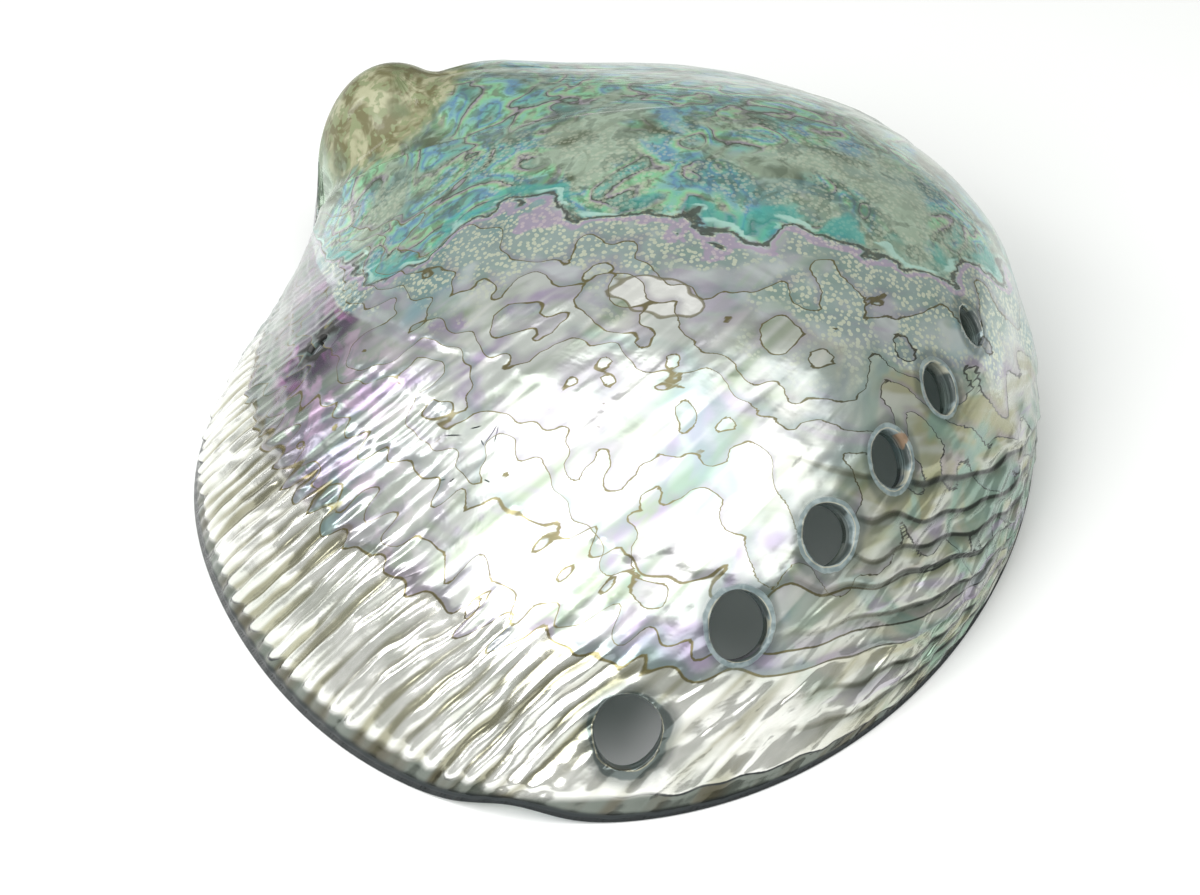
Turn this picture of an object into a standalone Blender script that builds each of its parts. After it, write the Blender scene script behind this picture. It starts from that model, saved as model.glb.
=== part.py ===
# Abalone shell, outside up, resting on its rim. Metres, +Z up, front of the shell towards -Y.
# The shell is one grown piece. Its outside is a stack of growth loops: each loop is the
# margin turned and shrunk about a tilted coiling axis, so growth lines follow the loops and
# the folds and the row of pores follow one angle on every loop.
import math
import bpy
import bmesh
import numpy as np
from mathutils import Vector
from mathutils.bvhtree import BVHTree

for old in list(bpy.data.objects):
    bpy.data.objects.remove(old, do_unlink=True)

MM = 0.001

# Margin outline: mean radius and the waves that make it egg shaped, in mm
MARGIN_RADIUS = 66.8
MARGIN_WAVES = [(2, -6.7, 0.9), (3, 1.6, -0.1), (4, 1.3, 1.1), (5, -0.7, 0.0)]

# Coiling axis and growth
COIL_POINT = (-29.0, 44.0, 24.5)
COIL_TILT = 30.5
COIL_BEARING = 146.5
GROWTH_RATE = 0.261
GROWTH_RATE_OLD = 0.190
OLD_FROM = 100.0
LOOP_GAP = 0.12

# Dome added over the loops and the sideways lean of the spire
DOME_HEIGHT = 14.5
DOME_CENTRE = (-7.0, -22.5)
DOME_POWER = 0.64
LEAN = (-4.0, 0.5, 2.0)
LEAN_REACH = 20.0

# Spire knob
SPIRE_CENTRE = (-33.5, 43.0)
SPIRE_RADIUS = 12.5
SPIRE_BASE = 16.0
SPIRE_RISE = 20.0
SPIRE_WALL = 6.0
SHOULDER_CENTRE = (-22.5, 50.0)
SHOULDER_WIDTH = 12.0
SHOULDER_HEIGHT = 3.2

# Rings that close the top, as shares of the way from the spire to the last loop
CROWN_SHARES = [0.97, 0.90, 0.80, 0.66, 0.50, 0.36, 0.26, 0.18, 0.10]
CROWN_FLOOR = 31.0

# Relief of the outside
FOLD_COUNT = 60
FOLD_HEIGHT = 0.75
FOLD_FROM = 152.0
FOLD_TO = 262.0
LEDGES = [(12.0, 0.55), (21.0, 0.45), (34.0, 0.45), (52.0, 0.40)]
CHANNEL_ANGLE = 281.0
CHANNEL_WIDTH = 7.0
CHANNEL_DEPTH = 1.3
LIP_WAVE_ANGLE = 260.0
LIP_WAVE_HEIGHT = 2.2
LIP_WAVE_WIDTH = 5.0

# Pores: growth age in degrees along the row, half width across and along the row in mm
PORE_ANGLE = 263.0
PORES = [(7.0, 4.3, 4.9), (17.0, 4.0, 4.5), (26.5, 3.6, 4.0),
         (35.0, 3.2, 3.9), (44.0, 2.9, 3.7), (53.0, 2.3, 3.1)]
PORE_FLARE = 1.12

# Wall and rim, in mm
WALL = 2.4
RIM_FRONT = 2.2
RIM_SHELF = 8.5
SHELF_ANGLE = 150.0
SHELF_SPREAD = 42.0

# Small worm pit on the left side
PIT_AGE = 25.0
PIT_ANGLE = 184.0
PIT_RADIUS = 1.7


def unit_axis():
    tilt = math.radians(COIL_TILT)
    bearing = math.radians(COIL_BEARING)
    return np.array([math.sin(tilt) * math.cos(bearing),
                     math.sin(tilt) * math.sin(bearing), math.cos(tilt)])


def turn(angle):
    a = unit_axis()
    cross = np.array([[0, -a[2], a[1]], [a[2], 0, -a[0]], [-a[1], a[0], 0]])
    return np.eye(3) + math.sin(angle) * cross + (1 - math.cos(angle)) * (cross @ cross)


def margin(beta):
    r = np.full(len(beta), MARGIN_RADIUS)
    for n, c, s in MARGIN_WAVES:
        r = r + c * np.cos(n * beta) + s * np.sin(n * beta)
    return np.stack([r * np.cos(beta), r * np.sin(beta), np.zeros(len(beta))], axis=1)


def shrink(age):
    past = max(age - math.radians(OLD_FROM), 0.0)
    late = past - (1 - math.exp(-past))
    return math.exp(-(GROWTH_RATE * age + (GROWTH_RATE_OLD - GROWTH_RATE) * late))


def growth_loops(ages, beta):
    # Every loop is kept a little inside the one before it, seen from above
    coil = np.array(COIL_POINT)
    edge = margin(beta) - coil
    loops = []
    before = None
    for i, age in enumerate(ages):
        ring = shrink(age) * (edge @ turn(age).T)
        angle = np.arctan2(ring[:, 1], ring[:, 0]) % (2 * math.pi)
        reach = np.hypot(ring[:, 0], ring[:, 1])
        if before is not None:
            gap = LOOP_GAP * min(1.0, (age - ages[i - 1]) / math.radians(5))
            limit = np.interp(angle, before[0], before[1]) - gap
            factor = np.clip(limit / reach, 0.05, 1.0)
            ring[:, :2] *= factor[:, None]
            reach = reach * factor
        order = np.argsort(angle)
        a = angle[order]
        r = reach[order]
        before = (np.concatenate([a - 2 * math.pi, a, a + 2 * math.pi]), np.tile(r, 3))
        ring[:, 2] = np.maximum(ring[:, 2], -coil[2])
        loops.append(ring + coil)
    return np.array(loops)


def dome(points):
    centre = np.array(DOME_CENTRE)
    fine = np.radians(np.arange(0, 360, 3))
    edge = margin(fine)[:, :2] - centre
    a = np.arctan2(edge[:, 1], edge[:, 0])
    order = np.argsort(a)
    a = a[order]
    r = np.hypot(edge[:, 0], edge[:, 1])[order]
    a = np.concatenate([a - 2 * math.pi, a, a + 2 * math.pi])
    r = np.tile(r, 3)
    flat = points[..., :2] - centre
    far = np.interp(np.arctan2(flat[..., 1], flat[..., 0]), a, r)
    share = np.clip(np.hypot(flat[..., 0], flat[..., 1]) / far, 0, 1)
    out = points.copy()
    out[..., 2] += DOME_HEIGHT * (1 - share ** 2) ** DOME_POWER
    away = out - (np.array(COIL_POINT) + np.array([0, 0, DOME_HEIGHT / 2]))
    pull = np.exp(-(away ** 2).sum(-1) / (2 * LEAN_REACH ** 2))
    pull = pull * np.clip(out[..., 2] / 12, 0, 1)
    return out + pull[..., None] * np.array(LEAN)


def spire(points):
    away = np.hypot(points[..., 0] - SPIRE_CENTRE[0], points[..., 1] - SPIRE_CENTRE[1])
    share = np.clip(away / SPIRE_RADIUS, 0, 1)
    knob = SPIRE_BASE + SPIRE_RISE * np.sqrt(1 - share ** 2)
    knob = knob - SPIRE_WALL * np.maximum(away - SPIRE_RADIUS, 0)
    out = points.copy()
    beside = np.hypot(out[..., 0] - SHOULDER_CENTRE[0], out[..., 1] - SHOULDER_CENTRE[1])
    shoulder = SHOULDER_HEIGHT * np.exp(-(beside / SHOULDER_WIDTH) ** 2)
    out[..., 2] += shoulder * np.clip(out[..., 2] / 12 - 0.3, 0, 1)
    z = out[..., 2]
    blend = 0.5 * (z + knob + np.sqrt((z - knob) ** 2 + 3.0))
    out[..., 2] = np.where(knob > z - 8, np.maximum(blend, z), z)
    return out


def bump(x, width):
    return np.exp(-(x / width) ** 2)


def relief(age, beta):
    # Height of folds, growth ledges, channel and the raised row of pores over the smooth outside, in mm
    age = np.degrees(age)[:, None]
    b = np.degrees(beta)[None, :] % 360
    span = np.clip((b - FOLD_FROM) / 14, 0, 1) * np.clip((FOLD_TO - b) / 10, 0, 1)
    wave = np.sin(np.radians((b + 2.5 * np.sin(np.radians(age * 6))) * FOLD_COUNT))
    strength = np.clip(age / 1.5, 0, 1) * (0.3 + 0.7 * np.exp(-(age / 16) ** 2))
    strength = strength * np.exp(-(age / 45) ** 2)
    height = FOLD_HEIGHT * wave * span * strength
    right = bump((b - 300), 22)
    for at, step in LEDGES:
        drop = np.exp(-np.clip(age - at, 0, None) / 7) * (age >= at)
        height = height + step * drop * (0.6 + 1.2 * right) * np.clip((b - 150) / 20, 0, 1)
    fade = np.clip(age / 4, 0, 1) * np.exp(-(age / 60) ** 2)
    height = height - CHANNEL_DEPTH * bump(b - CHANNEL_ANGLE, CHANNEL_WIDTH) * fade
    height = height + 0.6 * bump(b - PORE_ANGLE, 6) * fade
    return height


def outward(points):
    # Normals of a grid of closed loops
    along = np.roll(points, -1, axis=1) - np.roll(points, 1, axis=1)
    up = np.gradient(points, axis=0)
    n = np.cross(along, up)
    size = np.linalg.norm(n, axis=2, keepdims=True)
    return n / np.maximum(size, 1e-9)


def smooth_outside(ages, beta):
    return dome(growth_loops(ages, beta))


def crown(ring):
    # Rings from the last growth loop in to the spire, their height found from above on
    # the older loops, then evened out
    fine = np.radians(np.arange(0, 360, 3))
    old = smooth_outside(np.radians(np.arange(0, 300, 3)), fine)
    skin_tree = grid_tree(old)
    middle = np.array(SPIRE_CENTRE)
    rings = [ring]
    for share in CROWN_SHARES:
        flat = middle + (ring[:, :2] - middle) * share
        z = np.array([drop_height(skin_tree, x, y) for x, y in flat])
        z = np.maximum(z, ring[:, 2] * share + CROWN_FLOOR * (1 - share))
        rings.append(np.column_stack([flat, z]))
    rings = np.array(rings)
    top = np.array([middle[0], middle[1], rings[-1, :, 2].mean()])
    away = np.hypot(rings[..., 0] - middle[0], rings[..., 1] - middle[1])
    near_spire = np.exp(-(away / 32) ** 2)
    for step in range(10):
        share = 1.0 if step < 3 else near_spire[1:]
        z = rings[:, :, 2]
        side = 0.5 * (np.roll(z, 1, axis=1) + np.roll(z, -1, axis=1))
        below = np.vstack([z[:1], z[:-1]])
        above = np.vstack([z[1:], np.full((1, z.shape[1]), z[-1].mean())])
        even = (0.4 * z + 0.3 * side + 0.15 * below + 0.15 * above)[1:]
        rings[1:, :, 2] += share * (even - z[1:])
    return rings[1:], top


def grid_tree(rings):
    n = rings.shape[1]
    quads = []
    for i in range(len(rings) - 1):
        for j in range(n):
            k = (j + 1) % n
            quads.append((i * n + j, i * n + k, (i + 1) * n + k, (i + 1) * n + j))
    quads.append(tuple((len(rings) - 1) * n + j for j in range(n)))
    return BVHTree.FromPolygons([Vector(v) for v in rings.reshape(-1, 3)], quads)


def drop_height(tree, x, y):
    hit = tree.ray_cast(Vector((x, y, 90.0)), Vector((0, 0, -1)))
    return hit[0].z if hit[0] is not None else 0.0


def add_mesh(name, verts, faces, collection):
    mesh = bpy.data.meshes.new(name)
    mesh.from_pydata([tuple(v) for v in verts], [], faces)
    mesh.update()
    obj = bpy.data.objects.new(name, mesh)
    collection.objects.link(obj)
    return obj


parts = bpy.data.collections.new("abalone_shell")
bpy.context.scene.collection.children.link(parts)
cutters = bpy.data.collections.new("cutters")
bpy.context.scene.collection.children.link(cutters)
cutters.hide_render = True

# Spokes are close together where the folds are, and wider elsewhere
fold_part = np.linspace(FOLD_FROM, FOLD_TO, 66, endpoint=False)
other_part = np.linspace(FOLD_TO, FOLD_FROM + 360, 44, endpoint=False)
beta = np.radians(np.concatenate([fold_part, other_part]))
count = len(beta)
ages = np.radians(np.array([0, 1.2, 3, 5.5, 8, 10.5, 11.9, 12.1, 14.5, 17.5, 20.9, 21.1, 25, 29.5,
                            33.9, 34.1, 39, 45, 52, 60, 70, 82, 96]))

base = smooth_outside(ages, beta)
base[0, :, 2] = 0
crown_rings, crown_top = crown(base[-1])
spacing = np.linalg.norm(np.gradient(base, axis=0), axis=2)
age_step = np.gradient(np.degrees(ages))[:, None]
open_part = np.clip(spacing / age_step / 0.35 - 0.4, 0, 1)
lift = relief(ages, beta) * open_part
lift[0] = 0
lift[-2:] = 0
outer = base + outward(base) * lift[:, :, None]
outer[1:, :, 2] = np.maximum(outer[1:, :, 2], 0.25)
outer = np.concatenate([outer, crown_rings])
outer[1:] = spire(outer[1:])
top_point = spire(crown_top[None, :])[0]

wave = LIP_WAVE_HEIGHT * bump(np.degrees(beta) - LIP_WAVE_ANGLE, LIP_WAVE_WIDTH)
for i, share in ((0, 1.0), (1, 0.75), (2, 0.35)):
    outer[i, :, 2] += wave * share

# Inside: the smooth outside moved in by the wall, looked up from below
smooth_all = spire(np.concatenate([base, crown_rings]))
tree = grid_tree(smooth_all - outward(smooth_all) * WALL)

inner_beta = beta[::2]
inner_count = len(inner_beta)
edge = base[0][::2]
tangent = np.roll(edge, -1, axis=0) - np.roll(edge, 1, axis=0)
inward = np.stack([-tangent[:, 1], tangent[:, 0]], axis=1)
inward = inward / np.linalg.norm(inward, axis=1, keepdims=True)
from_shelf = (np.degrees(inner_beta) - SHELF_ANGLE + 180) % 360 - 180
rim_width = RIM_FRONT + (RIM_SHELF - RIM_FRONT) * bump(from_shelf, SHELF_SPREAD)
mouth = edge[:, :2] + inward * rim_width[:, None]
mouth_middle = np.array([-3.0, -4.0])

shares = [0.985, 0.96, 0.925, 0.88, 0.82, 0.74, 0.64, 0.52, 0.39, 0.25, 0.12]


def ceiling(x, y):
    hit = tree.ray_cast(Vector((x, y, -20.0)), Vector((0, 0, 1)))
    return hit[0].z if hit[0] is not None else 0.0


def inner_ring(share):
    flat = mouth_middle + (mouth - mouth_middle) * share
    return np.array([[x, y, max(ceiling(x, y), 0.0)] for x, y in flat])


rim_lift = outer[0][::2, 2] * 0.9
mouth_ring = np.concatenate([mouth, rim_lift[:, None]], axis=1)
inner_rings = [mouth_ring] + [inner_ring(s) for s in shares]
for i in range(1, len(inner_rings)):
    ring = inner_rings[i]
    z = ring[:, 2]
    smooth = 0.25 * np.roll(z, 1) + 0.5 * z + 0.25 * np.roll(z, -1)
    ring[:, 2] = np.maximum(np.minimum(z, smooth), 0.02 * i)
inner_middle = np.array([mouth_middle[0], mouth_middle[1], ceiling(*mouth_middle)])

# One closed skin: outside, flat rim and inside
verts = []
faces = []


def add_ring(ring):
    start = len(verts)
    verts.extend(ring)
    return start


def join_rings(a, b, n):
    for j in range(n):
        k = (j + 1) % n
        faces.append((a + j, a + k, b + k, b + j))


starts = [add_ring(ring) for ring in outer]
for a, b in zip(starts, starts[1:]):
    join_rings(a, b, count)
top = len(verts)
verts.append(top_point)
for j in range(count):
    faces.append((starts[-1] + j, starts[-1] + (j + 1) % count, top))

inner_starts = [add_ring(ring) for ring in inner_rings]
for j in range(inner_count):
    k = (j + 1) % inner_count
    o = starts[0]
    m = inner_starts[0]
    faces.append((o + 2 * j + 1, o + 2 * j, m + j))
    faces.append((o + (2 * j + 2) % count, o + 2 * j + 1, m + j, m + k))
for a, b in zip(inner_starts, inner_starts[1:]):
    join_rings(a, b, inner_count)
low = len(verts)
verts.append(inner_middle)
for j in range(inner_count):
    faces.append((inner_starts[-1] + j, inner_starts[-1] + (j + 1) % inner_count, low))

# The middle of the bottom of the bounding box goes to the origin
verts = np.array(verts)
shift = -0.5 * (verts.min(axis=0) + verts.max(axis=0))
shift[2] = 0
verts = verts + shift
shell = add_mesh("shell", verts * MM, faces, parts)
work = bmesh.new()
work.from_mesh(shell.data)
bmesh.ops.triangulate(work, faces=work.faces)
bmesh.ops.recalc_face_normals(work, faces=work.faces)
work.to_mesh(shell.data)
work.free()


# Pores and the worm pit: oval cutters along the normal of the outside
def spot(age, angle):
    b = np.radians(np.array([angle - 2, angle, angle + 2]) % 360)
    order = np.argsort(b)
    small = smooth_outside(np.radians([0, age - 1.5, age, age + 1.5]), np.sort(b))
    place = small[2][order.tolist().index(1)]
    along = small[2][2] - small[2][0]
    up = small[3][1] - small[1][1]
    n = np.cross(along, up)
    return place, n / np.linalg.norm(n), along / np.linalg.norm(along)


def cutter(name, age, angle, across, length, above, below, flare):
    place, n, side = spot(age, angle)
    row = np.cross(n, side)
    turns = np.radians(np.arange(0, 360, 15))
    rings = []
    for depth, size in ((-below, 1.0), (-0.6, 1.0), (0.3, flare), (above, flare + 0.1)):
        centre = place + n * depth
        rings.append([centre + side * across * size * math.cos(t)
                      + row * length * size * math.sin(t) for t in turns])
    n_turn = len(turns)
    cut_faces = [tuple(reversed(range(n_turn)))]
    for i in range(len(rings) - 1):
        for j in range(n_turn):
            k = (j + 1) % n_turn
            a = i * n_turn
            cut_faces.append((a + j, a + k, a + n_turn + k, a + n_turn + j))
    cut_faces.append(tuple((len(rings) - 1) * n_turn + j for j in range(n_turn)))
    cut_verts = np.array([v for ring in rings for v in ring])
    obj = add_mesh(name, (cut_verts + shift) * MM, cut_faces, cutters)
    mesh = bmesh.new()
    mesh.from_mesh(obj.data)
    bmesh.ops.recalc_face_normals(mesh, faces=mesh.faces)
    mesh.to_mesh(obj.data)
    mesh.free()
    obj.display_type = "WIRE"
    obj.hide_render = True
    return obj


tools = []
for i, (age, across, length) in enumerate(PORES):
    tools.append(cutter("pore_cut_%d" % (i + 1), age, PORE_ANGLE, across, length, 6.0, 7.0, PORE_FLARE))
tools.append(cutter("pit_cut", PIT_AGE, PIT_ANGLE, PIT_RADIUS, PIT_RADIUS * 1.3, 5.0, 1.4, 1.3))

for tool in tools:
    cut = shell.modifiers.new(tool.name, "BOOLEAN")
    cut.operation = "DIFFERENCE"
    cut.solver = "EXACT"
    cut.object = tool

nacre = bpy.data.materials.new("nacre")
nacre.use_nodes = True
surface = nacre.node_tree.nodes["Principled BSDF"]
surface.inputs["Base Color"].default_value = (0.55, 0.60, 0.56, 1.0)
surface.inputs["Roughness"].default_value = 0.25
shell.data.materials.append(nacre)
for face in shell.data.polygons:
    face.use_smooth = True
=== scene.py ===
import math
import bpy
import numpy as np
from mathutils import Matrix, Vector
from mathutils.bvhtree import BVHTree
from mathutils.kdtree import KDTree


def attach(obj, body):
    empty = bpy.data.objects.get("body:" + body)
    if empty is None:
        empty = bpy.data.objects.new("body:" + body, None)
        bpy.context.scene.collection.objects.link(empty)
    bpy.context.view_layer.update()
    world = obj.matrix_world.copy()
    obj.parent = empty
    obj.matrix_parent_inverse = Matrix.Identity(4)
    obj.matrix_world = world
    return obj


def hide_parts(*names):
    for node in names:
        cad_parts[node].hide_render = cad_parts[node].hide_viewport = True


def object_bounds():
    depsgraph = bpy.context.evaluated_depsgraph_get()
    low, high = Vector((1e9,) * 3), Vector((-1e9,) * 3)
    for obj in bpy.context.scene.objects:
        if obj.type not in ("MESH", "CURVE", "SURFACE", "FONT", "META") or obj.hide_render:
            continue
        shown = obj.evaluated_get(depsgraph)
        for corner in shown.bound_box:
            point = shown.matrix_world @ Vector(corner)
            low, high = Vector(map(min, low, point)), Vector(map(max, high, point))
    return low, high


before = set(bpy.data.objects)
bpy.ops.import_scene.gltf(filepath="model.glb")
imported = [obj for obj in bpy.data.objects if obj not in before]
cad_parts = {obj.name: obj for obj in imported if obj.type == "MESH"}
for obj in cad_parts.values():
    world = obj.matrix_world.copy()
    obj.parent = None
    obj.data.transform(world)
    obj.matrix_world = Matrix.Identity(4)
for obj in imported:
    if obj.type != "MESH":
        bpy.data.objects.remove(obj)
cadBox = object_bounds()
print("frame loaded")

mm = 0.001

# The growth form of the shell, the same named values as its solid, in mm and degrees
form = {
    "marginRadius": 66.8,
    "marginWaves": [(2, -6.7, 0.9), (3, 1.6, -0.1), (4, 1.3, 1.1), (5, -0.7, 0.0)],
    "coilPoint": (-29.0, 44.0, 24.5),
    "coilTilt": 30.5,
    "coilBearing": 146.5,
    "growthRate": 0.261,
    "growthRateOld": 0.190,
    "oldFrom": 100.0,
    "loopGap": 0.12,
    "domeHeight": 14.5,
    "domeCentre": (-7.0, -22.5),
    "domePower": 0.64,
    "lean": (-4.0, 0.5, 2.0),
    "leanReach": 20.0,
    "spireCentre": (-33.5, 43.0),
    "spireRadius": 12.5,
    "spireBase": 16.0,
    "spireRise": 20.0,
    "spireWall": 6.0,
    "shoulderCentre": (-22.5, 50.0),
    "shoulderWidth": 12.0,
    "shoulderHeight": 3.2,
    "crownFloor": 31.0,
    "wall": 2.4,
    "rimFront": 2.2,
    "rimShelf": 8.5,
    "shelfAngle": 150.0,
    "shelfSpread": 42.0,
    "mouthMiddle": (-3.0, -4.0),
    "foldFrom": 152.0,
    "foldTo": 262.0,
    "lipWaveAngle": 260.0,
    "lipWaveHeight": 2.2,
    "lipWaveWidth": 5.0,
    "channelAngle": 281.0,
    "channelWidth": 7.0,
    "channelDepth": 1.3,
}

# Pores: age along the row, half width across and along the row in mm
pores = {
    "angle": 263.0,
    "list": [(7.0, 4.3, 4.9), (17.0, 4.0, 4.5), (26.5, 3.6, 4.0),
             (35.0, 3.2, 3.9), (44.0, 2.9, 3.7), (53.0, 2.3, 3.1)],
    "flare": 1.04,
    "pitAge": 25.0,
    "pitAngle": 184.0,
    "pitRadius": 1.5,
    "pitDepth": 1.5,
    "pitFlare": 1.3,
    "cutDepth": 7.0,
    "flakePore": 4,
}

detail = {
    "foldSpokes": 240,
    "rightSpokes": 110,
    "backSpokes": 120,
    "rightTo": 335.0,
    "foldCount": 46,
    "foldHeight": 0.36,
    "rightFoldHeight": 0.22,
    "lumpHeight": 0.22,
    "poreRidge": 0.6,
    "swell": 0.18,
    "rimLedge": 0.35,
    "ledges": [(6.0, 0.12), (12.0, 0.42), (16.5, 0.18), (21.0, 0.32), (27.0, 0.18), (34.0, 0.28), (43.0, 0.12)],
    "innerRings": 22,
    "ageSteps": [(0, 3, 0.3), (3, 36, 0.42), (36, 64, 0.75), (64, 96, 1.6)],
    "lastAge": 96,
    "crownAges": 60,
    "islandPlace": (49.0, 221.0),
    "islandHalf": (6.2, 3.0),
}


def unitAxis():
    tilt = math.radians(form["coilTilt"])
    bearing = math.radians(form["coilBearing"])
    return np.array([math.sin(tilt) * math.cos(bearing),
                     math.sin(tilt) * math.sin(bearing), math.cos(tilt)])


def turn(angle):
    a = unitAxis()
    cross = np.array([[0, -a[2], a[1]], [a[2], 0, -a[0]], [-a[1], a[0], 0]])
    return np.eye(3) + math.sin(angle) * cross + (1 - math.cos(angle)) * (cross @ cross)


def margin(beta):
    r = np.full(len(beta), form["marginRadius"])
    for n, c, s in form["marginWaves"]:
        r = r + c * np.cos(n * beta) + s * np.sin(n * beta)
    return np.stack([r * np.cos(beta), r * np.sin(beta), np.zeros(len(beta))], axis=1)


def shrink(age):
    past = max(age - math.radians(form["oldFrom"]), 0.0)
    late = past - (1 - math.exp(-past))
    return math.exp(-(form["growthRate"] * age
                      + (form["growthRateOld"] - form["growthRate"]) * late))


def growthLoops(ages, beta):
    # each loop is kept a little inside the one before it, seen from above
    coil = np.array(form["coilPoint"])
    edge = margin(beta) - coil
    loops = []
    before = None
    for i, age in enumerate(ages):
        ring = shrink(age) * (edge @ turn(age).T)
        angle = np.arctan2(ring[:, 1], ring[:, 0]) % (2 * math.pi)
        reach = np.hypot(ring[:, 0], ring[:, 1])
        if before is not None:
            gap = form["loopGap"] * min(1.0, (age - ages[i - 1]) / math.radians(5))
            limit = np.interp(angle, before[0], before[1]) - gap
            factor = np.clip(limit / reach, 0.05, 1.0)
            ring[:, :2] *= factor[:, None]
            reach = reach * factor
        order = np.argsort(angle)
        a = angle[order]
        before = (np.concatenate([a - 2 * math.pi, a, a + 2 * math.pi]), np.tile(reach[order], 3))
        ring[:, 2] = np.maximum(ring[:, 2], -coil[2])
        loops.append(ring + coil)
    return np.array(loops)


def dome(points):
    centre = np.array(form["domeCentre"])
    edge = margin(np.radians(np.arange(0, 360, 3)))[:, :2] - centre
    a = np.arctan2(edge[:, 1], edge[:, 0])
    order = np.argsort(a)
    a = a[order]
    r = np.hypot(edge[:, 0], edge[:, 1])[order]
    a = np.concatenate([a - 2 * math.pi, a, a + 2 * math.pi])
    flat = points[..., :2] - centre
    far = np.interp(np.arctan2(flat[..., 1], flat[..., 0]), a, np.tile(r, 3))
    share = np.clip(np.hypot(flat[..., 0], flat[..., 1]) / far, 0, 1)
    out = points.copy()
    out[..., 2] += form["domeHeight"] * (1 - share ** 2) ** form["domePower"]
    away = out - (np.array(form["coilPoint"]) + np.array([0, 0, form["domeHeight"] / 2]))
    pull = np.exp(-(away ** 2).sum(-1) / (2 * form["leanReach"] ** 2))
    pull = pull * np.clip(out[..., 2] / 12, 0, 1)
    return out + pull[..., None] * np.array(form["lean"])


def spireShape(points):
    sx, sy = form["spireCentre"]
    away = np.hypot(points[..., 0] - sx, points[..., 1] - sy)
    share = np.clip(away / form["spireRadius"], 0, 1)
    knob = form["spireBase"] + form["spireRise"] * np.sqrt(1 - share ** 2)
    knob = knob - form["spireWall"] * np.maximum(away - form["spireRadius"], 0)
    out = points.copy()
    hx, hy = form["shoulderCentre"]
    beside = np.hypot(out[..., 0] - hx, out[..., 1] - hy)
    shoulder = form["shoulderHeight"] * np.exp(-(beside / form["shoulderWidth"]) ** 2)
    out[..., 2] += shoulder * np.clip(out[..., 2] / 12 - 0.3, 0, 1)
    z = out[..., 2]
    blend = 0.5 * (z + knob + np.sqrt((z - knob) ** 2 + 3.0))
    out[..., 2] = np.where(knob > z - 8, np.maximum(blend, z), z)
    return out


def bump(x, width):
    return np.exp(-(x / width) ** 2)


def outward(points):
    along = np.roll(points, -1, axis=1) - np.roll(points, 1, axis=1)
    up = np.gradient(points, axis=0)
    n = np.cross(along, up)
    return n / np.maximum(np.linalg.norm(n, axis=2, keepdims=True), 1e-9)


def gridTree(rings):
    n = rings.shape[1]
    quads = []
    for i in range(len(rings) - 1):
        for j in range(n):
            k = (j + 1) % n
            quads.append((i * n + j, i * n + k, (i + 1) * n + k, (i + 1) * n + j))
    quads.append(tuple((len(rings) - 1) * n + j for j in range(n)))
    return BVHTree.FromPolygons([Vector(v) for v in rings.reshape(-1, 3)], quads)


def dropHeight(tree, x, y):
    hit = tree.ray_cast(Vector((x, y, 90.0)), Vector((0, 0, -1)))
    return hit[0].z if hit[0] is not None else 0.0


def ceilingHeight(tree, x, y):
    hit = tree.ray_cast(Vector((x, y, -20.0)), Vector((0, 0, 1)))
    return hit[0].z if hit[0] is not None else 0.0


def waves(x, y, size, seed):
    # smooth wandering value between about -1 and 1, from sines of unlike directions
    value = 0
    for i in range(5):
        a = seed * 1.7 + i * 2.399
        k = (1.0 + 0.37 * i) / size
        value = value + np.sin((x * math.cos(a) + y * math.sin(a)) * k * 2 * math.pi + seed * (i + 1) * 2.1)
    return value / 3.2


# Outside of the shell
foldPart = np.linspace(form["foldFrom"], form["foldTo"], detail["foldSpokes"], endpoint=False)
rightPart = np.linspace(form["foldTo"], detail["rightTo"], detail["rightSpokes"], endpoint=False)
backPart = np.linspace(detail["rightTo"], form["foldFrom"] + 360, detail["backSpokes"], endpoint=False)
beta = np.radians(np.concatenate([foldPart, rightPart, backPart]))
count = len(beta)
ageDegrees = np.concatenate([np.arange(*step) for step in detail["ageSteps"]] + [[detail["lastAge"]]])
ages = np.radians(ageDegrees)

base = dome(growthLoops(ages, beta))
base[0, :, 2] = 0


def crown(ring, shares):
    # rings from the last loop in to the spire, with heights found from above on older loops
    old = dome(growthLoops(np.radians(np.arange(0, 300, 3)), np.radians(np.arange(0, 360, 3))))
    oldShell = gridTree(old)
    middle = np.array(form["spireCentre"])
    rings = [ring]
    for share in shares:
        flat = middle + (ring[:, :2] - middle) * share
        z = np.array([dropHeight(oldShell, x, y) for x, y in flat])
        z = np.maximum(z, ring[:, 2] * share + form["crownFloor"] * (1 - share))
        rings.append(np.column_stack([flat, z]))
    rings = np.array(rings)
    away = np.hypot(rings[..., 0] - middle[0], rings[..., 1] - middle[1])
    nearSpire = np.exp(-(away / 32) ** 2)
    for step in range(60):
        z = rings[:, :, 2]
        side = 0.5 * (np.roll(z, 3, axis=1) + np.roll(z, -3, axis=1))
        below = np.vstack([z[:1], z[:-1]])
        above = np.vstack([z[1:], np.full((1, z.shape[1]), z[-1].mean())])
        even = (0.4 * z + 0.3 * side + 0.15 * below + 0.15 * above)[1:]
        share = 1.0 if step < 18 else nearSpire[1:]
        rings[1:, :, 2] += share * (even - z[1:])
    return rings[1:]


crownShares = np.array([0.985, 0.96, 0.93, 0.9, 0.86, 0.81, 0.75, 0.68, 0.6, 0.52, 0.44, 0.36, 0.3,
                        0.25, 0.205, 0.165, 0.13, 0.1, 0.07, 0.04, 0.0])
crownRings = crown(base[-1], crownShares)
print("growth loops made")


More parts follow.
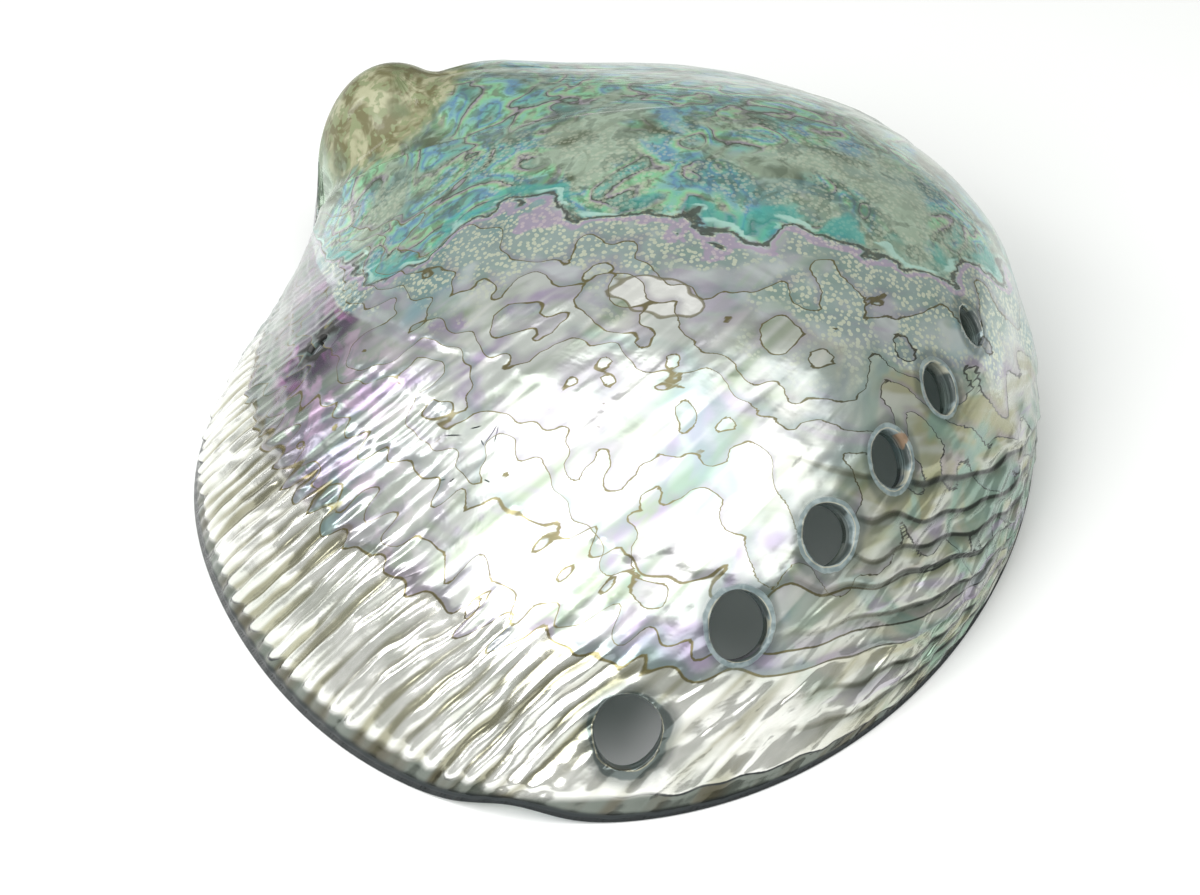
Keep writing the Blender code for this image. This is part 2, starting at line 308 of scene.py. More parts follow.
def relief(age, angle, points):
    # folds, growth ledges, channel and the raised row of pores, in mm
    x, y = points[..., 0], points[..., 1]
    slow = waves(x, y, 34, 1.0)
    span = np.clip((angle - form["foldFrom"] + 4) / 16, 0, 1) * np.clip((form["foldTo"] + 3 - angle) / 12, 0, 1)
    turns = detail["foldCount"] / (form["foldTo"] - form["foldFrom"])
    phase = (angle + 0.8 * waves(x, y, 40, 2.0) + 0.22 * waves(x, y, 10, 3.0)) * turns * 2 * math.pi
    wave = np.sin(phase) + 0.4 * np.sin(phase * 0.5 + slow * 2)
    strength = np.clip(age / 1.2, 0, 1) * (0.13 + 0.87 * np.exp(-(age / 12.5) ** 6))
    strength = strength * np.exp(-(age / 50) ** 2) * (0.8 + 0.35 * slow)
    fold = wave * span * strength
    right = bump(angle - 300, 24)
    rightFolds = np.sin((angle + 1.5 * waves(x, y, 20, 4.0)) * 0.9) * right * np.clip(age / 3, 0, 1)
    rightFolds = rightFolds * np.exp(-(age / 40) ** 2)
    lumps = waves(x + 0.6 * y, y, 7, 9.0) * bump(angle - 280, 26)
    lumps = lumps * np.clip(age / 3, 0, 1) * np.exp(-(age / 36) ** 2)
    height = detail["foldHeight"] * fold + detail["rightFoldHeight"] * rightFolds + detail["lumpHeight"] * lumps
    finger = np.abs(np.sin(0.5 * phase + 0.25 * math.pi))
    scallop = age + (0.38 + 0.22 * slow) * finger * span + 0.3 * waves(x, y, 9, 8.0)
    height = height - detail["rimLedge"] * np.clip((1.75 - scallop) / 0.35, 0, 1) * np.clip(age / 0.3, 0, 1)
    wavy = age + 0.9 * waves(x, y, 16, 5.0) * np.clip(age / 8, 0, 1) + 0.35 * fold
    for at, step in detail["ledges"]:
        edge = np.clip((wavy - at) / 0.5, 0, 1)
        height = height + step * edge * np.exp(-np.clip(wavy - at, 0, None) / 5) * (0.6 + 2.0 * right)
    fade = np.clip(age / 4, 0, 1) * np.exp(-(age / 60) ** 2)
    height = height - form["channelDepth"] * bump(angle - form["channelAngle"], form["channelWidth"]) * fade
    height = height + detail["poreRidge"] * bump(angle - pores["angle"], 6) * fade
    height = height + detail["swell"] * waves(x, y, 30, 6.0) * np.clip(age / 10, 0, 1)
    # ends of two layers, running in rounded lobes along the folds
    reach = np.clip(0.45 + waves(x, y, 24, 11.0), 0.12, 1.2)
    reachB = np.clip(0.55 - waves(x, y, 20, 13.0), 0.15, 1.2)
    layerA = wavy + (1.5 * reach * np.sin(phase * 0.62 + 1.5 * slow) + 0.7 * waves(x, y, 9, 12.0)) * span
    layerB = wavy + (1.9 * reachB * np.sin(phase * 0.5 + 2.0 - slow) + 1.3 * waves(x, y, 10, 14.0)) * span
    return height, fold, wavy, scallop, layerA, layerB


ageGrid = np.repeat(ageDegrees[:, None], count, axis=1)
angleGrid = np.repeat(np.degrees(beta)[None, :], len(ages), axis=0)
angleGrid = np.where(angleGrid > 512, angleGrid - 360, angleGrid)
height, fold, wavy, scallop, layerA, layerB = relief(ageGrid, angleGrid, base)
spacing = np.linalg.norm(np.gradient(base, axis=0), axis=2)
openPart = np.clip(spacing / np.gradient(ageDegrees)[:, None] / 0.35 - 0.4, 0, 1)
height = height * openPart
height[0] = 0
height[-8:] *= np.linspace(1, 0, 8)[:, None]
outer = base + outward(base) * height[:, :, None]
outer[1:, :, 2] = np.maximum(outer[1:, :, 2], 0.12)
outer = np.concatenate([outer, crownRings])
outer[1:] = spireShape(outer[1:])
outer[-1] = outer[-1].mean(axis=0)
rise = form["lipWaveHeight"] * bump(np.degrees(beta) - form["lipWaveAngle"], form["lipWaveWidth"])
lift = np.clip(1 - ageDegrees / 3.2, 0, 1)
outer[:len(ages), :, 2] += lift[:, None] * rise[None, :]

# Inside, the rim and the broad shelf on the spire side
smoothAll = spireShape(np.concatenate([base, crownRings]))[::4]
roof = gridTree(smoothAll - outward(smoothAll) * form["wall"])
edge = base[0]
tangent = np.roll(edge, -1, axis=0) - np.roll(edge, 1, axis=0)
inward = np.stack([-tangent[:, 1], tangent[:, 0]], axis=1)
inward = inward / np.linalg.norm(inward, axis=1, keepdims=True)
fromShelf = (np.degrees(beta) - form["shelfAngle"] + 180) % 360 - 180
rimWidth = form["rimFront"] + (form["rimShelf"] - form["rimFront"]) * bump(fromShelf, form["shelfSpread"])
mouth = edge[:, :2] + inward * rimWidth[:, None]
mouthMiddle = np.array(form["mouthMiddle"])
innerRings = [np.column_stack([mouth, rise * 0.9])]
for i in range(1, detail["innerRings"]):
    share = 1 - (i / (detail["innerRings"] - 1)) ** 1.7
    flat = mouthMiddle + (mouth - mouthMiddle) * share
    z = np.array([max(ceilingHeight(roof, x, y), 0.02 * i) for x, y in flat])
    for step in range(6):
        z = np.minimum(z, 0.25 * np.roll(z, 2) + 0.5 * z + 0.25 * np.roll(z, -2))
    innerRings.append(np.column_stack([flat, np.maximum(z, 0.02 * i)]))
innerRings = np.array(innerRings)
innerRings[-1] = innerRings[-1].mean(axis=0)

rows = np.concatenate([innerRings[::-1], outer])
boxCentre = 0.5 * (np.array(cadBox[0]) + np.array(cadBox[1]))
rowsBox = np.array([rows.reshape(-1, 3).min(axis=0), rows.reshape(-1, 3).max(axis=0)])
shift = np.array([boxCentre[0] / mm, boxCentre[1] / mm, 0]) - rowsBox.mean(axis=0) * np.array([1, 1, 0])
print("shift", shift)

# One grid primitive, its rows laid on the inside, the rim and the outside in turn
bpy.ops.object.select_all(action="DESELECT")
bpy.ops.mesh.primitive_grid_add(x_subdivisions=count, y_subdivisions=len(rows) - 1, size=2)
shell = bpy.context.object
shell.name = "abaloneShell"
co = np.empty(len(shell.data.vertices) * 3)
shell.data.vertices.foreach_get("co", co)
co = co.reshape(-1, 3)
column = np.rint((co[:, 0] + 1) / 2 * count).astype(int) % count
row = np.rint((co[:, 1] + 1) / 2 * (len(rows) - 1)).astype(int)
placed = (rows[row, column] + shift) * mm
shell.data.vertices.foreach_set("co", placed.ravel())

nInner = len(innerRings)
olderAges = detail["lastAge"] + (1 - crownShares) * detail["crownAges"]
olderAges = np.repeat(olderAges[:, None], count, axis=1)


def onGrid(onOutside, onInside, onCrown):
    return np.concatenate([np.full((nInner, count), onInside), onOutside, onCrown]).ravel()


fields = {
    "age": onGrid(ageGrid, -2.0, olderAges),
    "wavyAge": onGrid(wavy, -2.0, olderAges),
    "scallop": onGrid(scallop, -2.0, olderAges),
    "layerA": onGrid(layerA, -2.0, olderAges),
    "layerB": onGrid(layerB, -2.0, olderAges),
    "fold": onGrid(fold, 0.0, 0 * olderAges),
    "inside": onGrid(0 * ageGrid, 1.0, 0 * olderAges),
}
allBeta = np.tile(beta, len(rows))
grainAll = np.column_stack([60 * np.cos(allBeta), 60 * np.sin(allBeta), 0.25 * fields["age"]])


def spot(age, angle):
    b = np.radians(np.array([angle - 2, angle, angle + 2]))
    small = dome(growthLoops(np.radians([0, age - 1.5, age, age + 1.5]), b))
    along = small[2][2] - small[2][0]
    up = small[3][1] - small[1][1]
    n = np.cross(along, up)
    n = n / np.linalg.norm(n)
    side = along / np.linalg.norm(along)
    return small[2][1] + shift, n, side, np.cross(n, side)


poreSpots = [spot(age, pores["angle"]) + (across, length) for age, across, length in pores["list"]]
flatPoints = rows.reshape(-1, 3) + shift


def poreDistance(points):
    # one on the edge of a pore, more outside it
    share = np.full(len(points), 9.0)
    for place, n, side, along, across, length in poreSpots:
        away = points - place
        d = np.sqrt((away @ side / across) ** 2 + (away @ along / length) ** 2)
        share = np.minimum(share, np.where(np.abs(away @ n) < 6, d, 9.0))
    return share


def islandDistance(points):
    # a white patch of an older layer left standing in the upper middle, one on its edge
    place, n, side, along = spot(*detail["islandPlace"])
    across, length = detail["islandHalf"]
    away = points - place
    lobed = 0.22 * waves(points[:, 0], points[:, 1], 7, 21.0)
    return np.sqrt((away @ side / across) ** 2 + (away @ along / length) ** 2) + lobed


def drift(points):
    x, y = points[:, 0], points[:, 1]
    return 6.0 * waves(x, y, 30, 15.0) + 3.2 * waves(x, y, 14, 16.0) + 1.1 * waves(x, y, 6, 17.0)


bpy.ops.object.mode_set(mode="EDIT")
bpy.ops.mesh.select_all(action="SELECT")
bpy.ops.mesh.remove_doubles(threshold=0.000002)
bpy.ops.object.mode_set(mode="OBJECT")
print("shell skin made", len(shell.data.polygons))


def cutPore(name, place, n, side, along, across, length, below, flare):
    bpy.ops.object.select_all(action="DESELECT")
    bpy.ops.mesh.primitive_cylinder_add(vertices=64, radius=1, depth=2)
    tool = bpy.context.object
    tool.name = name
    tool.select_set(True)
    bpy.ops.object.mode_set(mode="EDIT")
    bpy.ops.mesh.select_all(action="SELECT")
    bpy.ops.mesh.bisect(plane_co=(0, 0, 0), plane_no=(0, 0, 1))
    bpy.ops.mesh.select_all(action="DESELECT")
    bpy.ops.object.mode_set(mode="OBJECT")
    for v in tool.data.vertices:
        x, y, z = v.co
        level = -below if z < -0.5 else (-0.5 if z < 0.5 else 6.0)
        size = 1.0 if z < 0.5 else flare
        wobble = 1 + 0.03 * math.sin(3 * math.atan2(y, x) + place[0])
        p = place + side * x * across * size * wobble + along * y * length * size * wobble + n * level
        v.co = Vector(p) * mm
    bpy.ops.object.mode_set(mode="EDIT")
    bpy.ops.mesh.select_all(action="SELECT")
    bpy.ops.mesh.normals_make_consistent(inside=False)
    bpy.ops.object.mode_set(mode="OBJECT")
    bpy.ops.object.select_all(action="DESELECT")
    shell.select_set(True)
    bpy.context.view_layer.objects.active = shell
    cut = shell.modifiers.new(name, "BOOLEAN")
    cut.operation = "DIFFERENCE"
    cut.solver = "EXACT"
    cut.object = tool
    bpy.ops.object.modifier_apply(modifier=cut.name)
    bpy.data.objects.remove(tool, do_unlink=True)


for i, (place, n, side, along, across, length) in enumerate(poreSpots):
    cutPore("poreTool%d" % (i + 1), place, n, side, along, across, length, pores["cutDepth"], pores["flare"])
pit = spot(pores["pitAge"], pores["pitAngle"])
cutPore("pitTool", *pit, pores["pitRadius"], pores["pitRadius"] * 1.3, pores["pitDepth"], pores["pitFlare"])
print("pores cut", len(shell.data.polygons))

# What the finish reads at each point: taken from the nearest point of the laid grid
nearest = KDTree(len(flatPoints))
for i, p in enumerate(flatPoints):
    nearest.insert(p, i)
nearest.balance()
points = np.array([v.co / mm for v in shell.data.vertices])
near = np.array([nearest.find(p)[1] for p in points])
stored = {name: values[near] for name, values in fields.items()}
place, n, side, along, across, length = poreSpots[pores["flakePore"] - 1]
flakePlace = place + 0.75 * across * side + 0.75 * length * along - 0.3 * n
pitAway = points - pit[0]
pitShare = np.hypot(pitAway @ pit[2], pitAway @ pit[3] / 1.3) / pores["pitRadius"]
stored.update(poreShare=poreDistance(points), island=islandDistance(points), drift=drift(points),
              pitShare=pitShare)
for name, values in stored.items():
    layer = shell.data.attributes.new(name, "FLOAT", "POINT")
    layer.data.foreach_set("value", values.astype(np.float32))
layer = shell.data.attributes.new("grain", "FLOAT_VECTOR", "POINT")
layer.data.foreach_set("vector", (grainAll[near] * mm).astype(np.float32).ravel())
bpy.ops.object.shade_smooth()
print("finish fields stored")


# Mother of pearl, ground and polished: satin metal-like white with stable pools of colour where
# the layers are thin, and dark lines where one layer ends on the next. Ages are in degrees of growth
nacre = {
    "noises": {
        # size in mm, detail, distortion
        "broad": (26.0, 3.0, 0.6), "patches": (24.0, 3.0, 0.8), "broadB": (17.0, 3.0, 1.0),
        "swirl": (13.0, 2.0, 0.5), "dotGround": (12.0, 2.0, 0.0), "stains": (9.0, 4.0, 0.8),
        "small": (5.0, 3.0, 0.6), "fine": (1.6, 2.0, 0.3),
    },
    "grainNoises": {
        # the same, and how much the grain is squeezed along each axis
        "streak": (3.2, 1.0, 0.3, (1.0, 1.0, 1.0)), "streakB": (6.5, 2.0, 0.6, (1.0, 1.0, 1.0)),
        "bands": (3.4, 2.0, 0.5, (0.25, 0.25, 3.2)), "cobbles": (3.2, 0.0, 0.3, (1.0, 1.0, 2.2)),
    },
    "dotSize": 0.72,
    "frontEnd": (12.4, 12.0),
    "wallStart": (0.014, 0.042),
    "leftStart": (-0.020, -0.044),
    "farLeftStart": (-0.042, -0.052),
    "leftOlder": 27.0,
    "upperStart": (46.0, 49.0),
    "backStart": (61.0, 63.0),
    "backRings": 6.5,
    "backHues": [(0.0, "#404c3c"), (0.07, "#8aa596"), (0.26, "#79bbae"), (0.42, "#6d98b8"), (0.55, "#8ec3ba"),
                 (0.7, "#8fcf9f"), (0.84, "#a6b99d"), (0.93, "#a39aa6"), (1.0, "#404c3c")],
    "spireMiddle": 30.0,
    "spireEdge": (15.5 * mm, 11.5 * mm),
    # layer ends: age and half width of the line, by the field that each one follows
    "driftEnds": [(24.0, 0.22), (31.0, 0.24), (38.0, 0.26), (45.0, 0.3), (53.0, 0.34)],
    "lobeEndsA": [(12.2, 0.24)],
    "lobeEndsB": [(14.8, 0.18), (20.5, 0.22)],
    "wallEnds": [5.0, 9.0, 16.5, 21.0, 24.5, 28.5, 33.0],
    # scratches left by the grinding: middle in mm, turn in degrees, length in mm
    "scratches": [(-21.0, -36.2, -20, 2.6), (-17.9, -36.3, -8, 1.5), (-15.9, -37.9, 48, 2.7),
                  (-17.0, -38.6, -65, 1.1), (-15.2, -38.1, 75, 2.1), (-22.2, -41.4, -15, 1.0),
                  (-20.9, -41.9, 20, 0.7), (-16.3, -43.6, -35, 1.0)],
    "scratchWidth": 0.13,
    "coat": 0.35,
    "coatRoughness": 0.08,
    "ior": 1.53,
    "bumpStrength": 0.7,
    "bumpDepth": 0.5,
}

nacreMat = bpy.data.materials.new("polishedNacre")
nacreMat.use_nodes = True
tree = nacreMat.node_tree


def colour(code):
    # sRGB hex to linear
    parts = [int(code[i:i + 2], 16) / 255 for i in (1, 3, 5)]
    return tuple(p / 12.92 if p <= 0.04045 else ((p + 0.055) / 1.055) ** 2.4 for p in parts) + (1.0,)


def addNode(kind, *values, named=None, output=0, **settings):
    # values go to the inputs in order, named ones by name or number: a socket, a hex colour or a number
    node = tree.nodes.new("ShaderNode" + kind)
    for key, value in settings.items():
        setattr(node, key, value)
    for key, value in list(enumerate(values)) + list((named or {}).items()):
        if isinstance(value, bpy.types.NodeSocket):
            tree.links.new(value, node.inputs[key])
        else:
            node.inputs[key].default_value = colour(value) if isinstance(value, str) else value
    return node.outputs[output]


def region(*parts):
    # the product of its parts: a share, a number, or a value and the places where it starts and is full
    share = None
    for part in parts:
        if isinstance(part, tuple):
            part = addNode("MapRange", *part, interpolation_type="SMOOTHSTEP")
        share = part if share is None else addNode("Math", share, part, operation="MULTIPLY")
    return share


def cover(under, over, strength, *parts):
    # lays one colour over another inside a region
    share = region(*parts) if strength == 1 else region(*parts, strength)
    return addNode("Mix", named={0: share, 6: under, 7: over}, data_type="RGBA", output=2)


def total(start, *parts):
    # start and an amount of each share
    for amount, share in parts:
        start = addNode("Math", share, amount, start, operation="MULTIPLY_ADD")
    return start


def wander(value, noise, amount):
    return total(value, (amount, noise), (-0.5 * amount, 1.0))


def most(shares):
    largest = shares[0]
    for share in shares[1:]:
        largest = addNode("Math", largest, share, operation="MAXIMUM")
    return largest


def line(value, at, width, core=None):
    # one where value is within width of at
    away = addNode("Math", addNode("Math", value, at, operation="SUBTRACT"), operation="ABSOLUTE")
    return region((away, width, width * 0.35 if core is None else core))


where = addNode("TexCoord", output="Object")
atX, atY, atZ = addNode("SeparateXYZ", where).node.outputs
grain = addNode("Attribute", attribute_name="grain", output="Vector")
noises = {}
for name, (size, level, distortion) in nacre["noises"].items():
    noises[name] = addNode("TexNoise", named={"Vector": where, "Scale": 1 / (size * mm), "Detail": level,
                                              "Distortion": distortion, "Roughness": 0.55})
for name, (size, level, distortion, squeeze) in nacre["grainNoises"].items():
    squeezed = addNode("VectorMath", grain, squeeze, operation="MULTIPLY")
    noises[name] = addNode("TexNoise", named={"Vector": squeezed, "Scale": 1 / (size * mm), "Detail": level,
                                              "Distortion": distortion, "Roughness": 0.55})
broad, broadB, small, fine = noises["broad"], noises["broadB"], noises["small"], noises["fine"]
streak, streakB, bands, swirl = noises["streak"], noises["streakB"], noises["bands"], noises["swirl"]

# Where the parts of the finish lie
read = {name: addNode("Attribute", attribute_name=name, output="Fac") for name in stored}
age, wavyAge, inside, pore, island = (read[name] for name in ("age", "wavyAge", "inside", "poreShare", "island"))
depth = wander(total(wavyAge, (1.0, read["drift"])), streakB, 3.0)
endA = wander(read["layerA"], small, 0.5)
endB = wander(read["layerB"], small, 0.5)
wall = region((atX, *nacre["wallStart"]), (age, 60, 45))
left = region((atX, *nacre["leftStart"]), (age, 11, 14))
farLeft = region((atX, *nacre["farLeftStart"]), (age, 11, 14))
leftBack = region((atX, -0.012, -0.042), (age, 25, 36))
spireSide = region((atX, 0.0, -0.015), (atY, 0.008, 0.024))
frontShare = region((endA, *nacre["frontEnd"]), total(1.0, (-1.0, spireSide)))
oldAge = total(wander(total(age, (0.55, read["drift"])), small, 6.0), (nacre["leftOlder"], leftBack))
spirePlace = np.array([*form["spireCentre"], nacre["spireMiddle"]]) + shift
spireAway = addNode("VectorMath", where, tuple(spirePlace * mm), operation="DISTANCE", output="Value")
spireAway = wander(spireAway, small, 8 * mm)
spireShare = region((spireAway, *nacre["spireEdge"]))
pitHole = region((wander(read["pitShare"], fine, 2.4), 2.3, 1.9))
poreWall = region((pore, 1.015, 1.0))
poreEdge = wander(wander(pore, small, 0.2), broadB, 0.35)
ringShare = region((poreEdge, 1.24, 1.18), (age, 50, 46), (age, 11.6, 12.2))
dots = addNode("TexVoronoi", named={"Vector": where, "Scale": 1 / (nacre["dotSize"] * mm), "Randomness": 1.0},
               feature="F1", output="Distance")
dotGround = region((noises["dotGround"], 0.42, 0.5))
dotShare = region((dots, 0.5, 0.36), (oldAge, 44, 50), (oldAge, 100, 80), dotGround)


def pearlWhite():
    # long soft pools of green, lilac and blue grey
    pearl = cover("#cfd4cf", "#98a690", 1, (streakB, 0.45, 0.66))
    pearl = cover(pearl, "#a997b9", 0.8, (broadB, 0.5, 0.66))
    pearl = cover(pearl, "#88ada7", 0.8, (broad, 0.55, 0.7))
    return cover(pearl, "#ecece8", 0.7, (streak, 0.5, 0.7))


def frontBand(skin):
    # khaki in the valleys of the folds, darkened there as painted shade, white painted highlight on the crests,
    # and grey on the side under the spire
    valleyKhakiShade = cover("#77734a", "#a8a586", 1, (streakB, 0.4, 0.62))
    crestHighlight = cover("#f6f6f1", "#e0e2da", 1, (broadB, 0.45, 0.62))
    # khaki with painted shade where the fold is low, white painted highlight where it is high
    front = cover(crestHighlight, valleyKhakiShade, 0.8, (wander(read["fold"], streak, 3.2), 0.3, -0.8))
    skin = cover(skin, front, 1, frontShare)
    grey = cover("#7d8a80", "#a49fae", 1, (bands, 0.45, 0.6))
    return cover(skin, grey, 1, spireSide, (age, 40, 24))


def rightWall(skin):
    # greyer, khaki and green, and darker than the rest, which is partly painted shade on this side
    wallHueAndShade = cover("#9c9a72", "#bfc2b6", 1, (bands, 0.4, 0.56))
    wallHueAndShade = cover(wallHueAndShade, "#84a590", 1, (broadB, 0.48, 0.6))
    wallHueAndShade = cover(wallHueAndShade, "#9a8ea8", 0.8, (bands, 0.58, 0.66))
    # the darker wall colours stand partly for shade on this side
    return cover(skin, wallHueAndShade, 0.85, wall)


def leftPools(skin):
    # purple, pink and dark pool low on the left, paler at the far side
    hue = cover("#766580", "#5d6f62", 1, (streak, 0.42, 0.6))
    hue = cover(hue, "#b08cb0", 1, (small, 0.5, 0.62))
    skin = cover(skin, hue, 0.8, left)
    pale = cover("#7f8f80", "#a3ada0", 1, (bands, 0.45, 0.58))
    return cover(skin, pale, 0.8, farLeft)


def wormPit(skin):
    # dark purple and green pool round the pit, and black painted shade in the pit
    around = wander(wander(read["pitShare"], small, 3.0), streak, 2.0)
    pool = cover("#4c3a56", "#3f5c4c", 1, (small, 0.44, 0.58))
    pool = cover(pool, "#a568a2", 1, (bands, 0.5, 0.6))
    skin = cover(skin, pool, 0.85, (around, 5.2, 2.6))
    # black painted shade inside the pit
    return cover(skin, "#0f0e0c", 1, pitHole)


def upperMiddle(skin):
    # grey lilac and blue green, with speckles of pale shell
    upper = cover("#b7bbc0", "#aebfb3", 1, (streakB, 0.42, 0.6))
    upper = cover(upper, "#b3a3bd", 0.6, (bands, 0.52, 0.62))
    upper = cover(upper, "#8cb6bd", 1, (broad, 0.5, 0.6))
    upper = cover(upper, "#dbe3e4", 0.7, (broadB, 0.55, 0.42))
    skin = cover(skin, upper, 0.85, (oldAge, *nacre["upperStart"]))
    skin = cover(skin, "#87a39c", 0.65, dotGround, (oldAge, 46, 52))
    return cover(skin, "#e0e6cf", 0.85, dotShare)


def oldBack(skin):
    # islands of teal, blue, green and violet, each with a dark olive outline
    turns = addNode("Math", wander(swirl, fine, 0.05), nacre["backRings"], operation="MULTIPLY")
    hues = addNode("ValToRGB", addNode("Math", turns, operation="FRACT"))
    ramp = hues.node.color_ramp
    while len(ramp.elements) < len(nacre["backHues"]):
        ramp.elements.new(0.5)
    for element, (at, code) in zip(ramp.elements, nacre["backHues"]):
        element.position = at
        element.color = colour(code)
    plain = cover("#8fa18c", "#b3c7b4", 1, (small, 0.42, 0.6))
    plain = cover(plain, "#5f6a52", 1, (noises["stains"], 0.53, 0.6))
    back = cover(plain, hues, 1, (noises["patches"], 0.42, 0.52))
    back = cover(back, "#515e4d", 0.5, (fine, 0.5, 0.62))
    back = cover(back, "#4f7f8c", 0.5, (broadB, 0.52, 0.62))
    back = cover(back, "#b9cdb8", 0.5, (broad, 0.46, 0.38))
    back = cover(back, "#4f5f4c", 0.5, (small, 0.52, 0.6))
    skin = cover(skin, back, 1, (oldAge, *nacre["backStart"]))
    return cover(skin, "#d4dac4", 0.35, dotShare)


def backEdge(skin):
    # bright teal, pink and dark lines where the old part starts
    skin = cover(skin, "#49b0a8", 0.65, line(oldAge, 64.5, 2.6), (broadB, 0.4, 0.5))
    skin = cover(skin, "#c8f0e4", 0.7, line(oldAge, 63.2, 0.9), (bands, 0.45, 0.55))
    skin = cover(skin, "#c3a6c8", 0.6, line(oldAge, 60.6, 0.9))
    return cover(skin, "#3c4038", 0.8, line(oldAge, 61.9, 0.5))


def wornSpire(skin):
    # cream and brown
    bone = cover("#a3a384", "#66633f", 1, (small, 0.42, 0.58))
    bone = cover(bone, "#7f8762", 1, (fine, 0.5, 0.6))
    bone = cover(bone, "#59653f", 1, (broadB, 0.5, 0.6))
    return cover(skin, bone, 1, spireShare)


def smallMarks(skin):
    # grey purple painted shade along the step under the ribbed front band, scratches, and the white patch of an
    # older layer
    stepShade = cover("#5f6b66", "#7d6a86", 1, (streakB, 0.45, 0.55))
    # painted shade on the older side of the step
    skin = cover(skin, stepShade, 0.45, line(endA, 12.7, 0.9, 0.2))
    for x, y, degrees, size in nacre["scratches"]:
        middle = ((x + shift[0]) * mm, (y + shift[1]) * mm, 0)
        stroke = addNode("Mapping", where, middle, (0, 0, math.radians(degrees)), vector_type="TEXTURE")
        along, across = addNode("SeparateXYZ", stroke).node.outputs[:2]
        skin = cover(skin, "#33383a", 1, line(along, 0.0, 0.6 * size * mm),
                     line(across, 0.0, nacre["scratchWidth"] * mm))
    return cover(skin, "#f4f4f0", 0.9, (island, 1.05, 0.95))


def layerEnds(skin):
    # where a layer ends: a dark olive line, a mauve grey band on its older side that is partly thin-layer colour
    # and partly painted shade, and on the right wall a darker painted shade at the foot of each ledge
    lines = [region(line(island, 1.0, 0.1), 0.8), region(line(endA, 12.5, 0.8), left)]
    shades = []
    wallShades = []
    ends = [(depth, at, width, 3.6) for at, width in nacre["driftEnds"]]
    ends += [(endA, at, width, 2.2) for at, width in nacre["lobeEndsA"]]
    ends += [(endB, at, width, 2.2) for at, width in nacre["lobeEndsB"]]
    for value, at, width, reach in ends:
        lines.append(line(value, at, width))
        shades.append(region((value, at + reach, at), (value, at - 0.2, at)))
    for at in nacre["wallEnds"]:
        lines.append(region(line(wavyAge, at, 0.5), wall))
        wallShades.append(region((wavyAge, at - 2.2, at), (wavyAge, at + 0.2, at), wall))
    shadeHue = cover("#94869e", "#7f9490", 1, (broadB, 0.45, 0.55))
    skin = cover(skin, shadeHue, 0.5, most(shades))
    # painted shade at the foot of each ledge on the right wall
    skin = cover(skin, "#4e5c50", 0.85, most(wallShades))
    return cover(skin, cover("#6e6538", "#252a25", 1, wall), 0.9, most(lines))


def poreRings(skin):
    # ground flat round the pores: pale blue grey, dark teal outside, a cream edge at the hole, and dark grey
    # painted shade on the walls of the holes
    around = wander(pore, broadB, 1.2)
    teal = most([region((around, 1.65, 1.3), 0.6), region((around, 1.38, 1.2), (age, 12.2, 11.6))])
    skin = cover(skin, "#34484a", 0.85, teal)
    ringHue = cover("#66777a", "#89989a", 1, (fine, 0.4, 0.6))
    skin = cover(skin, ringHue, 0.85, ringShare)
    skin = cover(skin, "#bdb89f", 0.6, line(poreEdge, 1.04, 0.03))
    # painted shade on the walls of the holes
    skin = cover(skin, "#3f4947", 1, poreWall)
    # brown flake left standing at the edge of the fourth pore
    fromFlake = addNode("VectorMath", where, tuple(flakePlace * mm), operation="DISTANCE", output="Value")
    return cover(skin, "#86705a", 1, (wander(fromFlake, fine, 1.2 * mm), 1.3 * mm, 1.0 * mm))


def newestMargin(skin):
    # scalloped edge of the folds, the olive strip and the dark line of the rim, only near the ground
    scallopEdge = read["scallop"]
    low = region((atZ, 4.0 * mm, 2.6 * mm))
    stripHue = cover("#45412f", "#566057", 1, (streak, 0.4, 0.6))
    skin = cover(skin, stripHue, 0.9, (scallopEdge, 1.75, 1.6), (age, -0.5, 0.1), low)
    skin = cover(skin, "#23282a", 1, line(scallopEdge, 1.72, 0.2), low)
    return cover(skin, "#2b3133", 1, (age, 0.55, 0.2), low)


def insideNacre(skin):
    # quieter nacre
    pearl = cover("#cdd2ca", "#9fbab1", 1, (broad, 0.35, 0.65))
    pearl = cover(pearl, "#b9a8be", 1, (broadB, 0.45, 0.7))
    pearl = cover(pearl, "#8fadb9", 0.7, (swirl, 0.5, 0.7))
    return cover(skin, pearl, 1, inside)


def lowRelief():
    # cobbles and streaks along the folds, outside only, and small hollows all over
    outerPart = total(0.1, (0.9, region((total(age, (-20.0, wall)), 18, 11))))
    cobbles = region((noises["cobbles"], 0.3, 0.7), outerPart, 1.1)
    grooves = region((age, 70, 50), streakB)
    outside = total(1.0, (-1.0, inside))
    height = total(region(total(cobbles, (0.8, grooves)), outside), (0.25, small))
    return addNode("Bump", named={"Strength": nacre["bumpStrength"], "Distance": nacre["bumpDepth"] * mm,
                                  "Height": height})


skin = pearlWhite()
for layOn in (frontBand, rightWall, leftPools, wormPit, upperMiddle, oldBack, backEdge, wornSpire, smallMarks,
              layerEnds, poreRings, newestMargin, insideNacre):
    skin = layOn(skin)
rough = total(0.16, (0.11, region((small, 0.3, 0.7))), (0.35, spireShare), (0.25, ringShare),
              (0.3, most([poreWall, pitHole])))
sheen = total(0.62, (-0.22, region((oldAge, 58, 66))), (0.2, frontShare))
polished = total(1.0, (-0.9, most([ringShare, poreWall])), (-1.0, pitHole))
shader = tree.nodes["Principled BSDF"]
tree.links.new(skin, shader.inputs["Base Color"])
tree.links.new(rough, shader.inputs["Roughness"])
tree.links.new(region(sheen, polished, total(1.0, (-0.9, spireShare))), shader.inputs["Metallic"])
tree.links.new(lowRelief(), shader.inputs["Normal"])
shader.inputs["Coat Weight"].default_value = nacre["coat"]
shader.inputs["Coat Roughness"].default_value = nacre["coatRoughness"]
shader.inputs["IOR"].default_value = nacre["ior"]

shell.data.materials.clear()
shell.data.materials.append(nacreMat)
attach(shell, "root")
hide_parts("shell")
print("nacre made")

